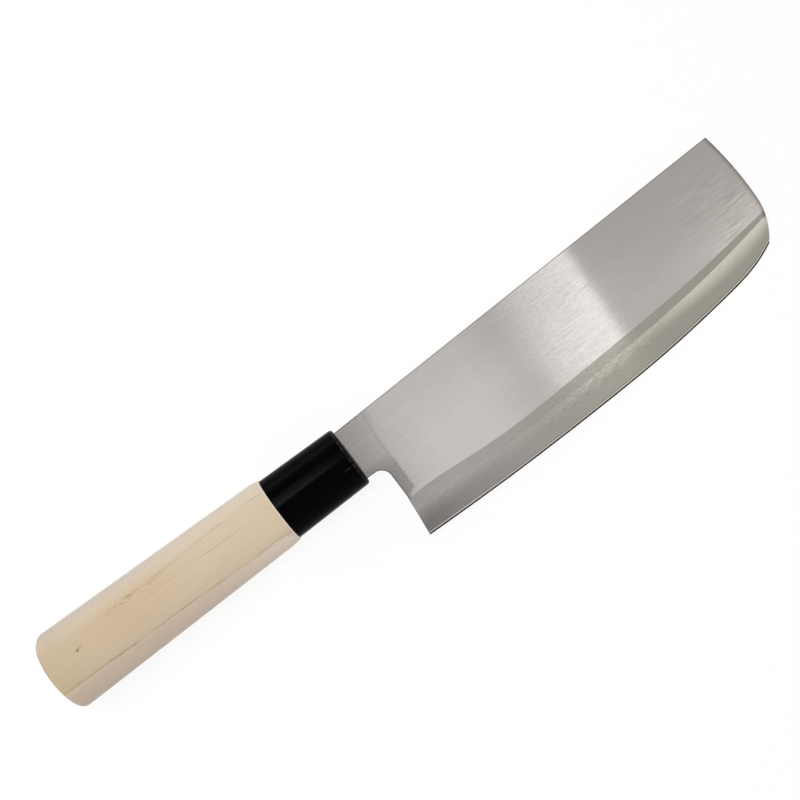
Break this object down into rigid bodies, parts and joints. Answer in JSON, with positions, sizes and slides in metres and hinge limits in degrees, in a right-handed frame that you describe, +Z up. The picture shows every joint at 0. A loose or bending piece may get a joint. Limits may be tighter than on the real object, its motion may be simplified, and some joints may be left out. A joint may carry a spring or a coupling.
{
  "type": "nakiri knife",
  "caption": "Double-bevel vegetable knife with a tall straight blade, a black oval ferrule and a pale oval wooden handle.",
  "frame": {"origin": "on the table under the middle of the knife's box, with the knife at rest on its left side", "axes": "+X along the knife from the butt to the blade's front end, +Y towards the spine, +Z up from the table"},
  "size_m": [0.3014, 0.0554, 0.0276],
  "materials": {
    "blade_steel": "satin, brushed lengthwise, with a duller ground band and a bright sharpened edge",
    "ferrule_plastic": "polished black",
    "handle_wood": "smooth sanded, bare pale wood with lengthwise grain",
    "adhesive": "cured resin, hidden"
  },
  "bodies": {
    "root": {"blade": "blade_steel", "ferrule": "ferrule_plastic", "handle": "handle_wood", "tang_adhesive": "adhesive"}
  },
  "joints": []
}
